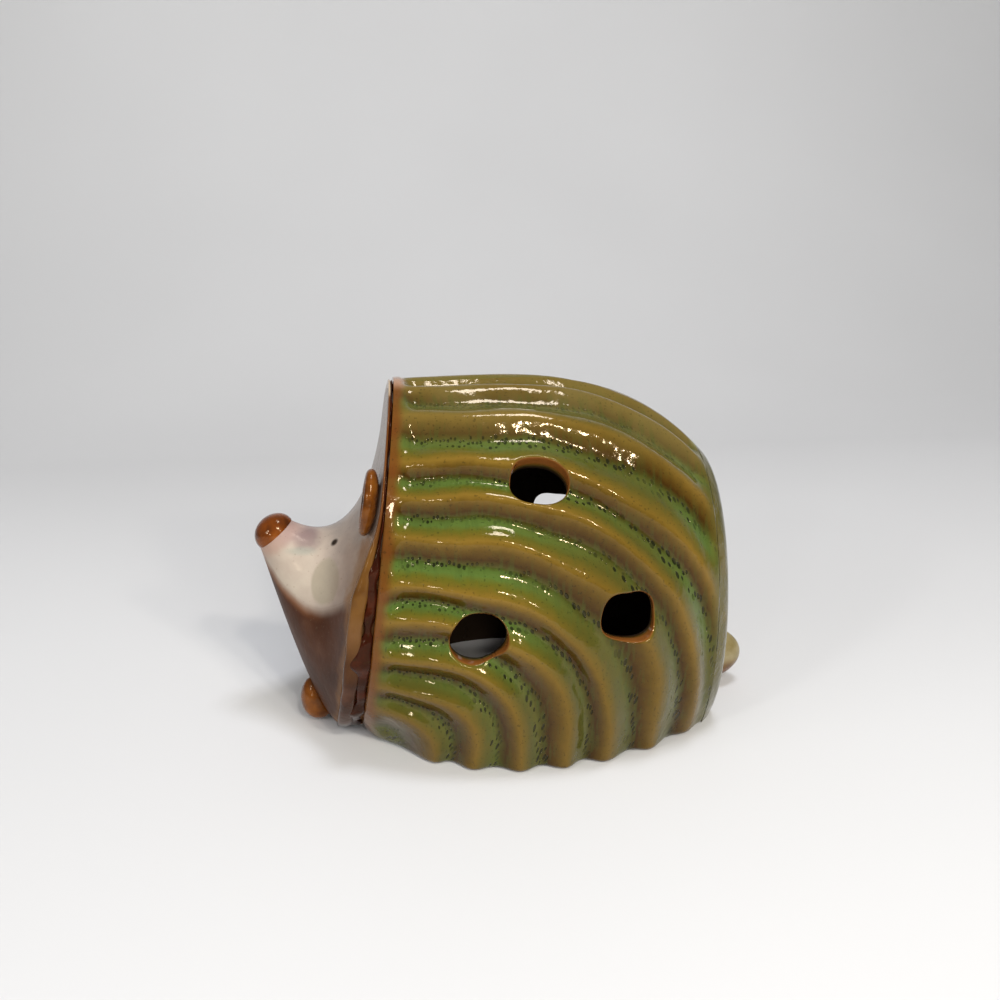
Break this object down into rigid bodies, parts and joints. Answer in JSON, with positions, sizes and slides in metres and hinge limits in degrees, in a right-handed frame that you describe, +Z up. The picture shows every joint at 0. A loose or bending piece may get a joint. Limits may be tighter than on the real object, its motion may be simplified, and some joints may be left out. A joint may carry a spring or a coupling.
{
  "type": "hedgehog figurine",
  "caption": "Hollow glazed stoneware hedgehog with a ribbed, pierced back, open underneath, and a drawn-out snout with ears, paws and a small tail.",
  "frame": {"origin": "under the middle of the whole figure, on the surface it stands on", "axes": "+Z up, -X towards the nose, -Y towards the animal's left side"},
  "size_m": [0.1406, 0.0924, 0.0949],
  "materials": {
    "ribbed_glaze": "glossy green and tan reactive glaze",
    "brown_glaze": "glossy red-brown glaze",
    "pale_glaze": "glossy cream-grey glaze"
  },
  "bodies": {
    "root": {"left_shell": "ribbed_glaze", "right_shell": "ribbed_glaze", "rump_slab": "ribbed_glaze", "luting_coil": "brown_glaze", "face_border": "brown_glaze", "nose": "brown_glaze", "left_ear": "brown_glaze", "right_ear": "brown_glaze", "left_paw": "brown_glaze", "right_paw": "brown_glaze", "face": "pale_glaze", "tail": "pale_glaze"}
  },
  "joints": []
}
